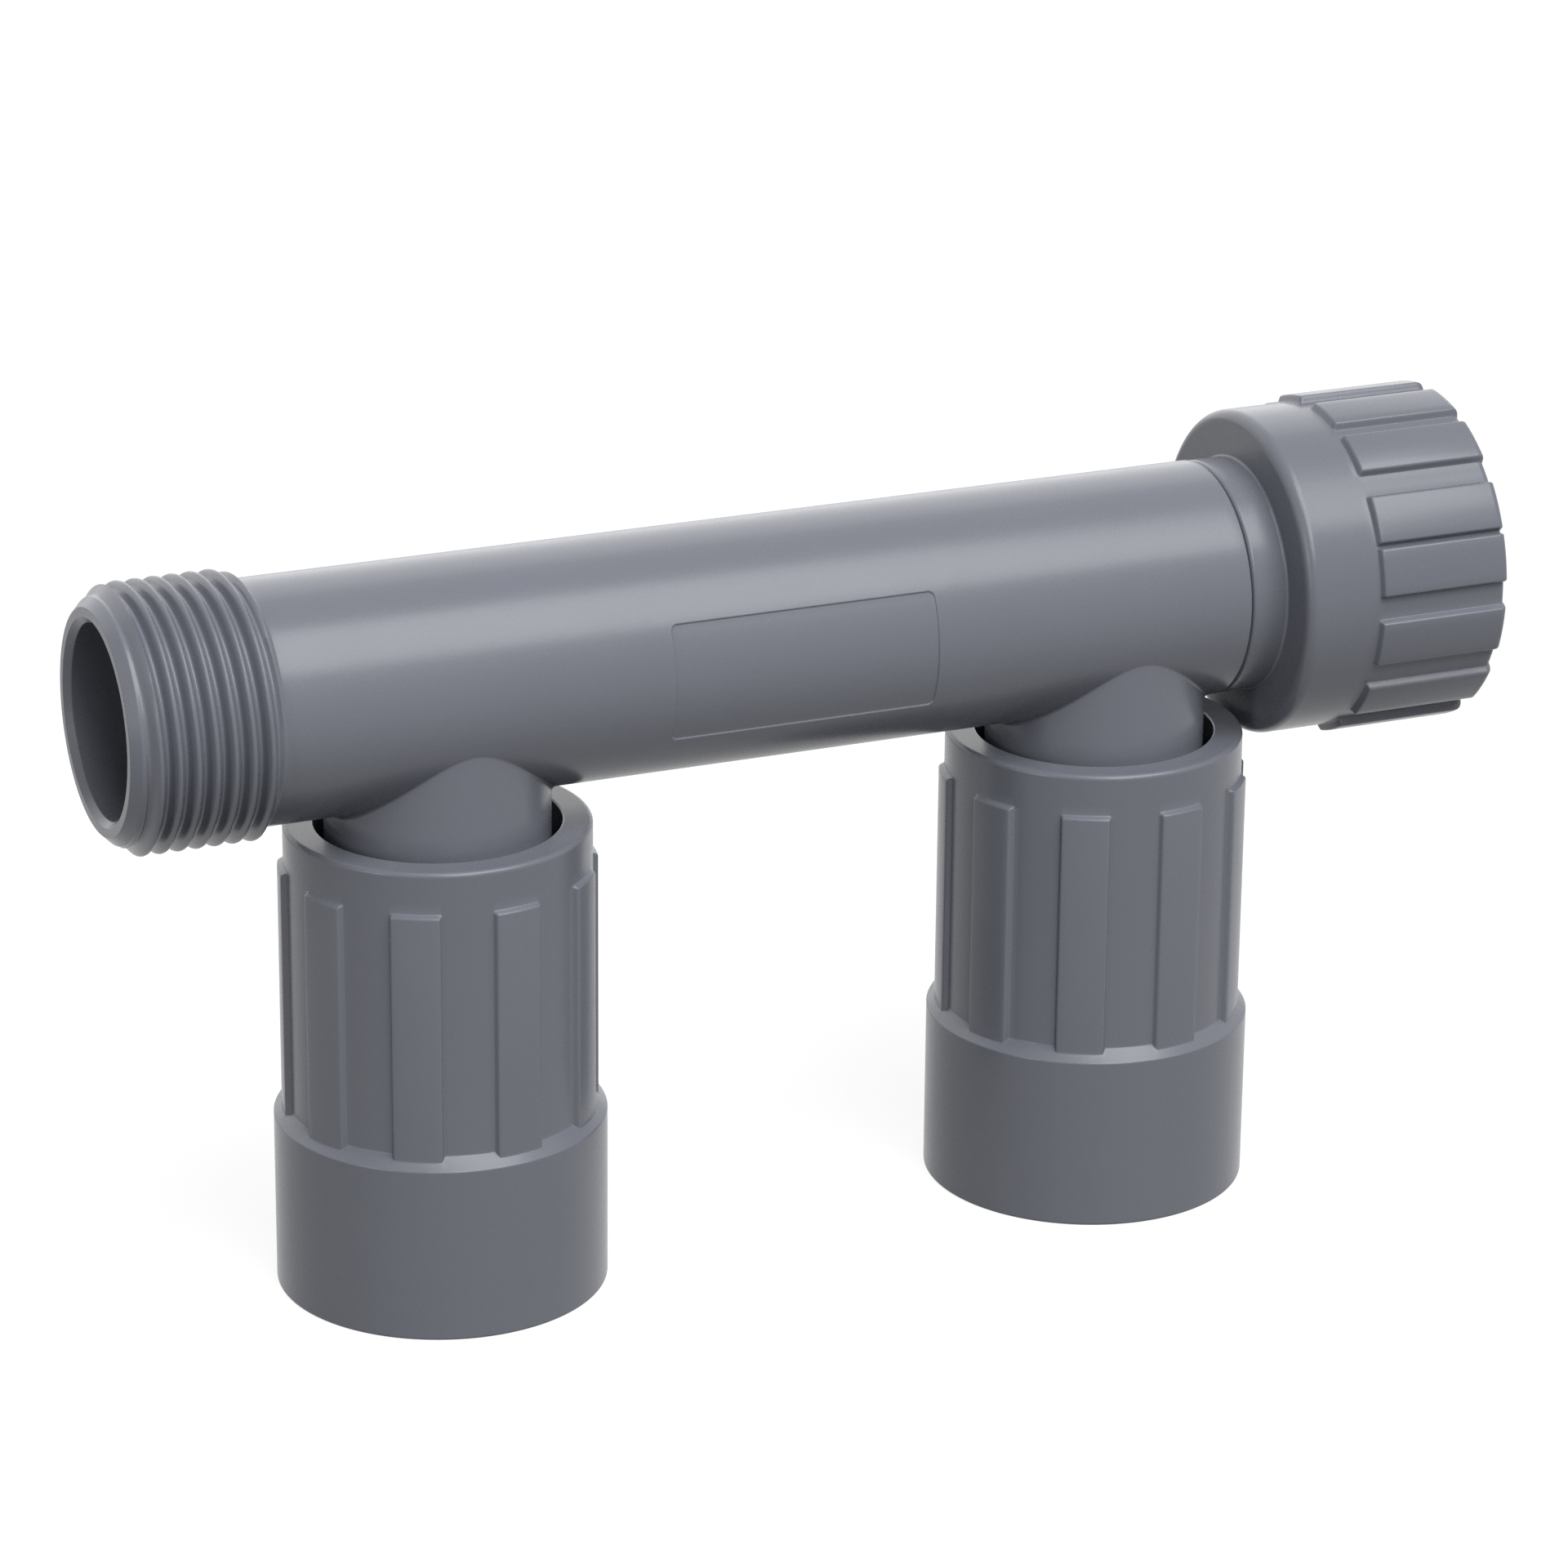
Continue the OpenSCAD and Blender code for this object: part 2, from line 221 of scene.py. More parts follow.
class StageSettings(bpy.types.PropertyGroup):
    """Camera, lamps and floor."""

    camera_place: FloatVectorProperty(
        name="Camera place", description="Where the camera stands",
        default=(-0.28942, -0.66039, 0.32753), size=3, subtype="TRANSLATION", unit="LENGTH",
    )
    azimuth: degrees("Azimuth", "Turn of the camera from the front", -23.625)
    elevation: degrees("Elevation", "How far the camera looks down", 20.422)
    roll: degrees("Roll", "Roll of the camera about its line of sight", 0.565)
    lens: FloatProperty(
        name="Lens", description="Focal length on a 36 mm sensor, in millimetres",
        default=139.904, min=1,
    )
    ambient: FloatProperty(
        name="Ambient", description="Strength of the light from all round", default=0.035, min=0,
    )
    key_power: lamp_power("Key lamp", "Power of the large lamp high in front", 119)
    front_power: lamp_power("Front lamp", "Power of the lamp lower in front", 24)
    left_power: lamp_power("Left lamp", "Power of the wide lamp at the left", 8)
    strip_power: lamp_power("Strip lamp", "Power of the narrow lamp at the front left", 14)
    back_power: lamp_power("Back lamp", "Power of the large lamp low behind", 76)
    floor_width: size("Floor", "Width of the floor", 8000)


GROUPS = {
    "manifold_run": RunSizes,
    "manifold_socket": SocketSizes,
    "manifold_nut": NutSizes,
    "manifold_rings": RingSizes,
    "manifold_finish": FinishSettings,
    "manifold_stage": StageSettings,
}

# Mesh of the tube: columns round it, the one that faces the front, and the widest step along it
RUN_COLUMNS = 120
FRONT_COLUMN = RUN_COLUMNS // 4
TUBE_STEP = 1.2 * MM
# Window round a neck: its half length along the tube and its half width in columns
NECK_WINDOW = 18 * MM
NECK_WINDOW_COLUMNS = 28
# Window round the label field: margin along the tube and half width in columns
LABEL_MARGIN = 3 * MM
LABEL_WINDOW_COLUMNS = 14
# Points within this distance become one, and edges sharper than this angle stay sharp
WELD = 0.002 * MM
SHARP_ANGLE = math.radians(50)

# Roundings of small edges, from the finest to the softest
FINE_ROUND = 0.1 * MM
GROOVE_ROUND = 0.12 * MM
SLIGHT_ROUND = 0.15 * MM
EDGE_ROUND = 0.2 * MM
SOFT_ROUND = 0.3 * MM
END_ROUND = 0.4 * MM

# A neck's blend: rows on the tube before it, steps over it, and the cosine of the angle from the
# tube's direction below which there is always room for the whole blend
PATCH_ROWS = 12
BLEND_STEPS = 6
BESIDE = 0.1
# The blend ends at least this far before the window's end
BLEND_MARGIN = 0.03 * MM
# Plain rows on a neck: below the tube's underside, above the bead, up the neck's bore, and below
# the underside of the tube's bore
LEVEL_DROP = 1.6 * MM
ABOVE_BEAD = 12 * MM
UP_THE_BORE = 10 * MM
BORE_LEVEL_DROP = 2 * MM
# Plain rows in the tube's bore: before the thread's end, and past the tube's shoulder
THREAD_BORE_ROW = 2 * MM
SPIGOT_BORE_ROW = 6 * MM
# Plain rows beside the ends of the ribs: above a socket's, and before the nut's
ABOVE_RIBS = 1.5 * MM
BEFORE_RIBS = 1 * MM

# The Whitworth form in shares of the pitch: depth, radius of crest and root, and half angle
THREAD_DEPTH = 0.640327
THREAD_NOSE = 0.137329
FLANK_ANGLE = math.radians(27.5)
# Shares of the pitch at which a thread has a row of points
THREAD_SHARES = (0, 0.06, 0.122, 0.25, 0.378, 0.44, 0.5, 0.56, 0.622, 0.75, 0.878, 0.94)
# Turns of the grid past each end of a thread, which its ends flatten into one row
SPARE_TURNS = 2
# Share of the pitch over which an inside thread fades at its ends
INSIDE_FADE = 0.7
# Plain stretches beside an inside thread: behind the mouth's chamfer and next to the chamber
MOUTH_SETBACK = 0.35 * MM
CHAMBER_SETBACK = 0.2 * MM
# A plain row stands this far from a thread or from an arc
ROW_GAP = 0.05 * MM
# The inlet's cone ends this far before the first crest, and the thread this far before the tube
CONE_LEAD = 0.2 * MM
TUBE_GAP = 0.1 * MM

# How a rib's side rises: distance into the rib in millimetres, and share of its height
RIB_SIDE = (
    (-0.28, 0.0), (-0.21, 0.03), (-0.16, 0.11), (-0.03, 0.46),
    (0.07, 0.73), (0.14, 0.87), (0.23, 0.96), (0.38, 1.0),
)
# A rib's foot on the collar: size of its blend, and the plain row above it
FOOT_BLEND = 0.12 * MM
FOOT_ROW = 0.4 * MM
# Angles of the nut's ribs from the front toward the top: the front ones are unevenly spaced
NUT_FRONT_RIBS = (105, 79.8, 57.5, 31.7, 13.5, -12, -38.6)
NUT_BACK_RIBS = tuple(-66 - 27 * k for k in range(7))

# How the label field's edge falls: distance inward in millimetres, and share of its depth
LABEL_SIDE = (
    (0.0, 0.0), (0.03, 0.04), (0.07, 0.2), (0.10, 0.48),
    (0.13, 0.8), (0.17, 0.96), (0.22, 1.0),
)
# The label field's floor: rows, least corner radius, and half width of the strip that closes it
LABEL_FLOOR_ROWS = 10
LABEL_LEAST_CORNER = 0.3 * MM
LABEL_STRIP = 0.45 * MM

# The moulded surface: noise scales of its tone and of its gloss, how high the patches of gloss
# stand beside the grain, and the shader's specular level
SLOW_SCALE = 55
PATCH_SCALE = 210
PATCH_HEIGHT = 0.6
SPECULAR_LEVEL = 0.3

# Lamps: azimuth and elevation in degrees from the front, width and height in metres, and the
# distance of all of them from the tube's axis
LAMPS = {
    "key": (20, 58, 2.4, 2.2),
    "front": (-5, 33, 1.2, 1.0),
    "left": (-90, 12, 2.2, 2.2),
    "strip": (-66, 10, 0.3, 1.6),
    "back": (180, 22, 6.0, 3.6),
}
LAMP_DISTANCE = 3.0
# The camera's sensor in millimetres, and the nearest distance that it sees in metres
SENSOR_WIDTH = 36
NEAREST_SEEN = 0.01
# The floor's grey, its roughness, and the strength with which it shows as white
FLOOR_GREY = 0.15
FLOOR_ROUGHNESS = 0.9
FLOOR_GLOW = 0.9
# The floor lies this far below the sockets' mouths, so that the two faces don't mix
FLOOR_GAP = 0.02 * MM
WHITE = (1, 1, 1, 1)


def add_object(name, data):
    """A new object in the scene."""
    made = bpy.data.objects.new(name, data)
    bpy.context.scene.collection.objects.link(made)
    return made


class Skin:
    """A surface made of rows of points, with quads between neighbouring rows."""

    def __init__(self):
        self.points = []
        self.faces = []

    def row(self, points):
        """Adds a row of points and returns their numbers."""
        first = len(self.points)
        self.points.extend(map(tuple, points))
        return list(range(first, len(self.points)))

    def join(self, row_a, row_b, open_columns=()):
        """Joins two closed rows of equal length, apart from the open columns."""
        count = len(row_a)
        for k in range(count):
            if k not in open_columns:
                after = (k + 1) % count
                self.faces.append((row_a[k], row_a[after], row_b[after], row_b[k]))

    def loft(self, rows, closed=False):
        """Joins each row to the next, and the last to the first if closed."""
        for row_a, row_b in zip(rows, rows[1:]):
            self.join(row_a, row_b)
        if closed:
            self.join(rows[-1], rows[0])

    def sheet(self, rows, windows):
        """Joins rows and leaves rectangular windows open."""
        count = len(rows[0])
        for i in range(len(rows) - 1):
            open_columns = {
                j % count
                for first_row, last_row, first_column, last_column in windows
                if first_row <= i < last_row
                for j in range(first_column, last_column)
            }
            self.join(rows[i], rows[i + 1], open_columns)

    def ladder(self, row):
        """Closes a long thin loop with quads between its two sides."""
        half = len(row) // 2
        for k in range(half - 1):
            self.faces.append((row[k], row[k + 1], row[-k - 2], row[-k - 1]))

    def build(self, name):
        """Makes the mesh object, welded and with its faces turned outward."""
        mesh = bpy.data.meshes.new(name)
        mesh.from_pydata(self.points, [], self.faces)
        shell = bmesh.new()
        shell.from_mesh(mesh)
        bmesh.ops.remove_doubles(shell, verts=shell.verts, dist=WELD)
        bmesh.ops.dissolve_degenerate(shell, edges=shell.edges, dist=WELD / 4)
        bmesh.ops.recalc_face_normals(shell, faces=shell.faces)
        shell.to_mesh(mesh)
        shell.free()
        mesh.shade_smooth()
        mesh.set_sharp_from_angle(angle=SHARP_ANGLE)
        return add_object(name, mesh)


def round_run(radius, angle, distance):
    """Points round the run's axis: angles go from the underside to the front, distances along X."""
    radius, angle, distance = np.broadcast_arrays(radius, angle, distance)
    return np.stack(
        [distance, -radius * np.sin(angle), AXIS_Z - radius * np.cos(angle)], axis=-1
    )


def round_outlet(centre_x):
    """A function that gives points round an outlet's upright axis, angles from +X to the back."""

    def place(radius, angle, height):
        radius, angle, height = np.broadcast_arrays(radius, angle, height)
        return np.stack(
            [centre_x + radius * np.cos(angle), radius * np.sin(angle), height], axis=-1
        )

    return place


# The ends that hold a snap ring and a gasket: how points are placed round them, the angle of
# the ring's split, and where groove and gasket lie
ENDS = {
    "left": (round_outlet(OUTLET_X["left"]), math.pi / 2, OUTLET_GROOVE, OUTLET_GASKET),
    "right": (round_outlet(OUTLET_X["right"]), math.pi / 2, OUTLET_GROOVE, OUTLET_GASKET),
    "union": (round_run, 0, SPIGOT_GROOVE, SPIGOT_GASKET),
}


def add_rows(skin, place, angles, outline):
    """One row for each point of an outline, given as radius and distance along the axis."""
    return [skin.row(place(radius, angles, along)) for radius, along in outline]


def rounded(corners, steps=5, guard=0.05 * MM):
    """An outline whose corners, given as (radius, along, rounding), become arcs.

    A guard point stands on both sides of each arc, so that the flats beside it stay flat.
    """
    outline = []
    for k, (radius, along, rounding) in enumerate(corners):
        here = Vector((radius, along))
        if not rounding:
            outline.append(here)
            continue
        back = (Vector(corners[k - 1][:2]) - here).normalized()
        onward = (Vector(corners[(k + 1) % len(corners)][:2]) - here).normalized()
        half = back.angle(onward) / 2
        reach = rounding / math.tan(half)
        centre = here + (back + onward).normalized() * (rounding / math.sin(half))
        start = here + back * reach - centre
        stop = here + onward * reach - centre
        sweep = math.pi - 2 * half
        outline.append(centre + start + back * guard)
        for step in range(steps + 1):
            share = step / steps
            outline.append(centre + (
                start * math.sin((1 - share) * sweep) + stop * math.sin(share * sweep)
            ) / math.sin(sweep))
        outline.append(centre + stop + onward * guard)
    return [tuple(point) for point in outline]


def smooth(value, low, high):
    """A soft step from 0 at low to 1 at high."""
    share = np.clip((value - low) / (high - low), 0, 1)
    return share * share * (3 - 2 * share)


def pipe_thread(share):
    """Height of the Whitworth form from root to crest, at a share of the pitch from the crest."""
    share = abs(share - round(share))
    touch = THREAD_NOSE * math.cos(FLANK_ANGLE)
    drop = THREAD_NOSE * (1 - math.sin(FLANK_ANGLE))
    if share < touch:
        return 1 - (THREAD_NOSE - math.sqrt(THREAD_NOSE ** 2 - share ** 2)) / THREAD_DEPTH
    if share > 0.5 - touch:
        return (THREAD_NOSE - math.sqrt(THREAD_NOSE ** 2 - (0.5 - share) ** 2)) / THREAD_DEPTH
    flank = (share - touch) / (0.5 - 2 * touch)
    return 1 - (drop + flank * (THREAD_DEPTH - 2 * drop)) / THREAD_DEPTH


def thread_rows(skin, place, angles, low, high, pitch, crest, hand, radius_of):
    """Joins rows that follow a helix between two places on the axis, and returns the end rows.

    crest is where a crest lies at the first column, hand is 1 where the helix advances with the
    angle, and radius_of gives the radius from the thread's height share and the place.
    """
    count = len(THREAD_SHARES)
    first_turn = math.floor((low - crest) / pitch) - SPARE_TURNS
    last_turn = math.ceil((high - crest) / pitch) + SPARE_TURNS
    climb = hand * pitch * (angles - angles[0]) / FULL_TURN
    rows = []
    for turn in range(first_turn, last_turn):
        for share in THREAD_SHARES:
            along = np.clip(crest + (turn + share) * pitch + climb, low, high)
            rows.append(skin.row(place(radius_of(pipe_thread(share), along), angles, along)))
    for k in range(len(rows) - 1):
        for j in range(len(angles) - 1):
            skin.faces.append((rows[k][j], rows[k][j + 1], rows[k + 1][j + 1], rows[k + 1][j]))
        # The last column meets the first one turn further on
        near = min(max(k + hand * count, 0), len(rows) - 1)
        far = min(max(k + 1 + hand * count, 0), len(rows) - 1)
        skin.faces.append((rows[k][-1], rows[near][0], rows[far][0], rows[k + 1][-1]))
    return rows[0], rows[-1]


def stations(stops, step):
    """Places from the first stop to the last, with every stop among them and even steps between."""
    places = [stops[0]]
    for start, stop in zip(stops, stops[1:]):
        count = max(1, math.ceil((stop - start) / step))
        places += [start + (stop - start) * k / count for k in range(1, count + 1)]
    return places


def rounded_loop(half_x, half_y, corner, count_x, count_y, corner_steps=3):
    """Points round a rounded rectangle, with count_x and count_y steps on its sides."""
    points = []
    sides = (
        (count_x, Vector((1, 0)), Vector((0, -1)), half_x, half_y),
        (count_y, Vector((0, 1)), Vector((1, 0)), half_y, half_x),
        (count_x, Vector((-1, 0)), Vector((0, 1)), half_x, half_y),
        (count_y, Vector((0, -1)), Vector((-1, 0)), half_y, half_x),
    )
    for count, onward, outward, reach, offset in sides:
        for k in range(count):
            near = min(k, count - k)
            if near < corner_steps:
                turn = math.radians(45) * (1 - near / corner_steps)
                along = reach - corner + corner * math.sin(turn)
                along = along if 2 * k > count else -along
                points.append(along * onward + (offset - corner + corner * math.cos(turn)) * outward)
            else:
                share = (k - corner_steps) / (count - 2 * corner_steps)
                points.append(onward * ((2 * share - 1) * (reach - corner)) + outward * offset)
    return np.array(points)


class Ribs:
    """Columns that are dense at the ribs' edges, and each column's share of the ribs' height."""

    def __init__(self, centres, width, radius, widest=math.radians(2.6)):
        half = math.asin(width / 2 / radius)
        offsets = [offset * MM / radius for offset, _ in RIB_SIDE]
        angles = sorted(
            (centre + side * (half - offset)) % FULL_TURN
            for centre in centres for side in (-1, 1) for offset in offsets
        )
        filled = []
        for here, after in zip(angles, angles[1:] + [angles[0] + FULL_TURN]):
            count = max(1, math.ceil((after - here) / widest))
            filled += [here + (after - here) * k / count for k in range(count)]
        self.angles = np.array(filled)
        away = np.abs((self.angles[:, None] - np.array(centres) + math.pi) % FULL_TURN - math.pi)
        inside = (half - away.min(axis=1)) * radius / MM
        self.share = np.interp(inside, *zip(*RIB_SIDE))


def window_for(places, low, high, first_column, last_column):
    """The window between two places of a sheet, as row and column numbers."""
    return (
        min(range(len(places)), key=lambda i: abs(places[i] - low)),
        min(range(len(places)), key=lambda i: abs(places[i] - high)),
        first_column, last_column,
    )


def edge_of(rows, places, window):
    """The points round a window: their numbers, places along the tube and angles."""
    first_row, last_row, first_column, last_column = window
    pairs = (
        [(i, first_column) for i in range(first_row, last_row)]
        + [(last_row, j) for j in range(first_column, last_column)]
        + [(i, last_column) for i in range(last_row, first_row, -1)]
        + [(first_row, j) for j in range(last_column, first_column, -1)]
    )
    columns = len(rows[0])
    numbers = [rows[i][j % columns] for i, j in pairs]
    along = np.array([places[i] for i, _ in pairs])
    return numbers, along, np.array([j * (FULL_TURN / columns) for _, j in pairs])


def patch_rows(skin, radius, edge, curve, shares):
    """Rows on the tube's surface, at shares of the way from a window's edge to a curve."""
    rows = []
    for share in shares:
        along = edge[0] + (curve[0] - edge[0]) * share
        angle = edge[1] + (curve[1] - edge[1]) * share
        rows.append(skin.row(round_run(radius, angle, along)))
    return rows


def grooved_end(radius, depth, near, far, end, bore_r):
    """Corners from a snap ring's groove, given by its near and far side, over a neck's end."""
    return [
        (radius, near, FINE_ROUND),
        (radius - depth, near, GROOVE_ROUND),
        (radius - depth, far, GROOVE_ROUND),
        (radius, far, FINE_ROUND),
        (radius, end, END_ROUND),
        (bore_r, end, EDGE_ROUND),
    ]


def crowded_shares(count, start=-0.6):
    """Shares from just above 0 up to 1, which stand closer together toward 1."""
    first = smooth(0, start, 1.0)
    return (smooth(np.linspace(0, 1, count + 1)[1:], start, 1.0) - first) / (1 - first)


def add_blend(skin, sizes, centre_x, reach, edge, turn):
    """Rows from a window's edge over the blend that a ball leaves between tube and neck.

    turn is each column's angle round the neck, from the tube's direction toward the front.
    Returns the rows, and how far below the tube's axis each column's blend ends.
    """
    tube_r = sizes.tube_d / 2
    neck_r = sizes.neck_d / 2
    numbers, along, angle = edge
    cosine, sine = np.cos(turn), np.sin(turn)
    room = np.where(
        cosine > BESIDE, reach / np.maximum(cosine, BESIDE) - neck_r, sizes.neck_blend
    )
    ball = np.minimum(sizes.neck_blend, room)
    ball_x = (neck_r + ball) * cosine
    ball_y = -(neck_r + ball) * sine
    drop = np.sqrt((tube_r + ball) ** 2 - ball_y ** 2)
    contact = centre_x + ball_x, np.arctan2(-ball_y, drop)
    shares = crowded_shares(PATCH_ROWS)
    rows = [numbers] + patch_rows(skin, tube_r, (along, angle), contact, shares)

    centre = np.stack([centre_x + ball_x, ball_y, AXIS_Z - drop], axis=-1)
    from_tube = np.stack([0 * ball_x, ball_y, -drop], axis=-1) / (tube_r + ball)[:, None]
    from_neck = np.stack([cosine, -sine, 0 * cosine], axis=-1)
    between = np.arccos(np.clip((from_tube * from_neck).sum(axis=1), -1, 1))[:, None]
    for share in np.linspace(0, 1, BLEND_STEPS + 1)[1:]:
        toward = (np.sin((1 - share) * between) * from_tube
                  + np.sin(share * between) * from_neck) / np.sin(between)
        rows.append(skin.row(centre - ball[:, None] * toward))
    return rows, drop


def add_neck(skin, sizes, centre_x, reach, outer, inner):
    """Adds an outlet neck between a window in the tube's outside and one in its bore.

    outer and inner are the windows' edges as (point numbers, places along the tube, angles).
    reach is how far from the neck's axis the blend may go along the tube.
    """
    bore_r = sizes.bore_d / 2
    neck_r = sizes.neck_d / 2
    neck_bore_r = sizes.neck_bore / 2
    place = round_outlet(centre_x)
    _, along, angle = outer
    offset = along - centre_x
    span = np.where(offset > 0, offset.max(), -offset.min())
    turn = np.arctan2(angle / np.abs(angle).max(), offset / span)
    rows, drop = add_blend(skin, sizes, centre_x, reach, outer, turn)

    # The neck below the blend, its bead, its groove and its end
    foot = AXIS_Z - drop
    level = AXIS_Z - sizes.tube_d / 2 - LEVEL_DROP
    for share in (0.06, 0.3, 0.65, 1):
        rows.append(skin.row(place(neck_r, -turn, foot + (level - foot) * share)))
    bead_top = sizes.bead_low + sizes.bead_t
    bead_r = neck_r + sizes.bead_rise
    groove_low, groove_top = OUTLET_GROOVE
    end = OUTLET_GASKET[1]
    outline = rounded([
        (neck_r, bead_top + ABOVE_BEAD, 0),
        (neck_r, bead_top, SLIGHT_ROUND),
        (bead_r, bead_top, EDGE_ROUND),
        (bead_r, sizes.bead_low, EDGE_ROUND),
        (neck_r, sizes.bead_low, FINE_ROUND),
        *grooved_end(neck_r, sizes.groove_depth, groove_top, groove_low, end, neck_bore_r),
        (neck_bore_r, end + UP_THE_BORE, 0),
    ])
    rows += add_rows(skin, place, -turn, outline)

    # The bore, up to where it opens into the tube's bore
    hole_y = neck_bore_r * np.sin(turn)
    hole_drop = np.sqrt(bore_r ** 2 - hole_y ** 2)
    hole_z = AXIS_Z - hole_drop
    level = AXIS_Z - bore_r - BORE_LEVEL_DROP
    for share in (0, 0.5, 0.9, 1):
        rows.append(skin.row(place(neck_bore_r, -turn, level + (hole_z - level) * share)))
    numbers, along, angle = inner
    hole = centre_x + neck_bore_r * np.cos(turn), np.arctan2(hole_y, hole_drop)
    rows += patch_rows(skin, bore_r, (along, angle), hole, (0.95, 0.8, 0.6, 0.4, 0.2))
    rows.append(numbers)
    skin.loft(rows)


def add_label(skin, sizes, centre_x, edge, counts):
    """Adds the recessed label field inside a window of the tube's outside."""
    tube_r = sizes.tube_d / 2
    floor_r = tube_r - sizes.label_depth
    numbers, along, angle = edge

    def outline(inset):
        corner = max(sizes.label_corner - inset, LABEL_LEAST_CORNER)
        loop = rounded_loop(
            sizes.label_l / 2 - inset, sizes.label_h / 2 - inset, corner, *counts
        )
        height = loop[:, 1] + sizes.label_lift
        return centre_x + loop[:, 0], math.pi / 2 + np.arcsin(height / tube_r)

    rows = [numbers]
    rows += patch_rows(skin, tube_r, (along, angle), outline(0), (0.35, 0.65, 0.85, 0.96, 0.99))
    for inset, share in LABEL_SIDE:
        here, turn = outline(inset * MM)
        rows.append(skin.row(round_run(tube_r - share * sizes.label_depth, turn, here)))
    first = LABEL_SIDE[-1][0] * MM
    deepest = sizes.label_h / 2 - LABEL_STRIP
    for k in range(1, LABEL_FLOOR_ROWS + 1):
        here, turn = outline(first + (deepest - first) * k / LABEL_FLOOR_ROWS)
        rows.append(skin.row(round_run(floor_r, turn, here)))
    skin.loft(rows)
    skin.ladder(rows[-1])


def add_inlet(skin, sizes, angles, thread_end, bore_row, tube_row):
    """Adds the nose and the thread: a cone cuts the first turn, and the last one runs out."""
    bore_r = sizes.bore_d / 2
    depth = THREAD_MAJOR_R - THREAD_MINOR_R
    thread_start = RUN_START + sizes.thread_lead - CONE_LEAD - sizes.thread_cone
    # From the underside to the front the ridge runs back by a quarter of its pitch
    crest = RUN_START + sizes.thread_lead + sizes.thread_pitch / 4

    def ridge(height, along):
        cone = depth * (along - thread_start) / sizes.thread_cone
        fade = 1 - smooth(along, thread_end - sizes.thread_fade, thread_end)
        return THREAD_MINOR_R + np.clip(depth * height * fade, 0, np.maximum(cone, 0))

    low_row, high_row = thread_rows(
        skin, round_run, angles, thread_start, thread_end - TUBE_GAP, sizes.thread_pitch,
        crest, -1, ridge,
    )
    outline = rounded([
        (bore_r, thread_end - THREAD_BORE_ROW, 0),
        (bore_r, RUN_START + sizes.bore_flare, SOFT_ROUND),
        (bore_r + sizes.bore_flare, RUN_START, SLIGHT_ROUND),
        (THREAD_MINOR_R - sizes.nose_chamfer, RUN_START, EDGE_ROUND),
        (THREAD_MINOR_R, RUN_START + sizes.nose_chamfer, SOFT_ROUND),
        (THREAD_MINOR_R, thread_start - ROW_GAP, 0),
    ])
    skin.loft([bore_row] + add_rows(skin, round_run, angles, outline) + [low_row])
    skin.loft([high_row, tube_row])


def add_spigot(skin, sizes, angles, tube_end, tube_row, bore_row):
    """Adds the shoulder and the spigot with its groove, and the way back into the bore."""
    tube_r = sizes.tube_d / 2
    bore_r = sizes.bore_d / 2
    neck_r = sizes.neck_d / 2
    shoulder = NUT_START - sizes.shoulder_gap
    outline = rounded([
        (tube_r, tube_end - ROW_GAP, 0),
        (tube_r, shoulder, sizes.shoulder_break),
        (neck_r, shoulder, FINE_ROUND),
        *grooved_end(neck_r, sizes.groove_depth, *SPIGOT_GROOVE, SPIGOT_END, bore_r),
        (bore_r, tube_end + SPIGOT_BORE_ROW, 0),
    ])
    # The shoulder's arc starts at the tube's last row, so the points up to there aren't needed
    rows = add_rows(skin, round_run, angles, outline[3:])
    skin.loft([tube_row] + rows + [bore_row])


def build_manifold(sizes):
    """The run tube with its inlet thread, two necks, label field and spigot, as one moulding."""
    skin = Skin()
    angles = np.arange(RUN_COLUMNS) * FULL_TURN / RUN_COLUMNS
    thread_end = RUN_START + sizes.thread_length
    tube_end = NUT_START - sizes.shoulder_gap - sizes.shoulder_break
    label_x = (OUTLET_X["left"] + OUTLET_X["right"]) / 2 - sizes.label_shift
    label_reach = sizes.label_l / 2 + LABEL_MARGIN
    neck_spans = {
        "left": (OUTLET_X["left"] - NECK_WINDOW, OUTLET_X["left"] + NECK_WINDOW),
        "right": (OUTLET_X["right"] - NECK_WINDOW, tube_end),
    }
    places = stations([
        thread_end, *neck_spans["left"],
        label_x - label_reach, label_x + label_reach, *neck_spans["right"],
    ], TUBE_STEP)
    outside = add_rows(skin, round_run, angles, [(sizes.tube_d / 2, x) for x in places])
    inside = add_rows(skin, round_run, angles, [(sizes.bore_d / 2, x) for x in places])

    # Windows for the necks and the label field
    neck_windows = {
        side: window_for(places, *span, -NECK_WINDOW_COLUMNS, NECK_WINDOW_COLUMNS)
        for side, span in neck_spans.items()
    }
    label_window = window_for(
        places, label_x - label_reach, label_x + label_reach,
        FRONT_COLUMN - LABEL_WINDOW_COLUMNS, FRONT_COLUMN + LABEL_WINDOW_COLUMNS,
    )
    skin.sheet(outside, [*neck_windows.values(), label_window])
    skin.sheet(inside, [*neck_windows.values()])
    for side, window in neck_windows.items():
        reach = neck_spans[side][1] - OUTLET_X[side] - BLEND_MARGIN
        outer, inner = edge_of(outside, places, window), edge_of(inside, places, window)
        add_neck(skin, sizes, OUTLET_X[side], reach, outer, inner)
    counts = (label_window[1] - label_window[0], label_window[3] - label_window[2])
    add_label(skin, sizes, label_x, edge_of(outside, places, label_window), counts)
    add_inlet(skin, sizes, angles, thread_end, inside[0], outside[0])
    add_spigot(skin, sizes, angles, tube_end, outside[-1], inside[-1])
    return skin.build("manifold_moulding")


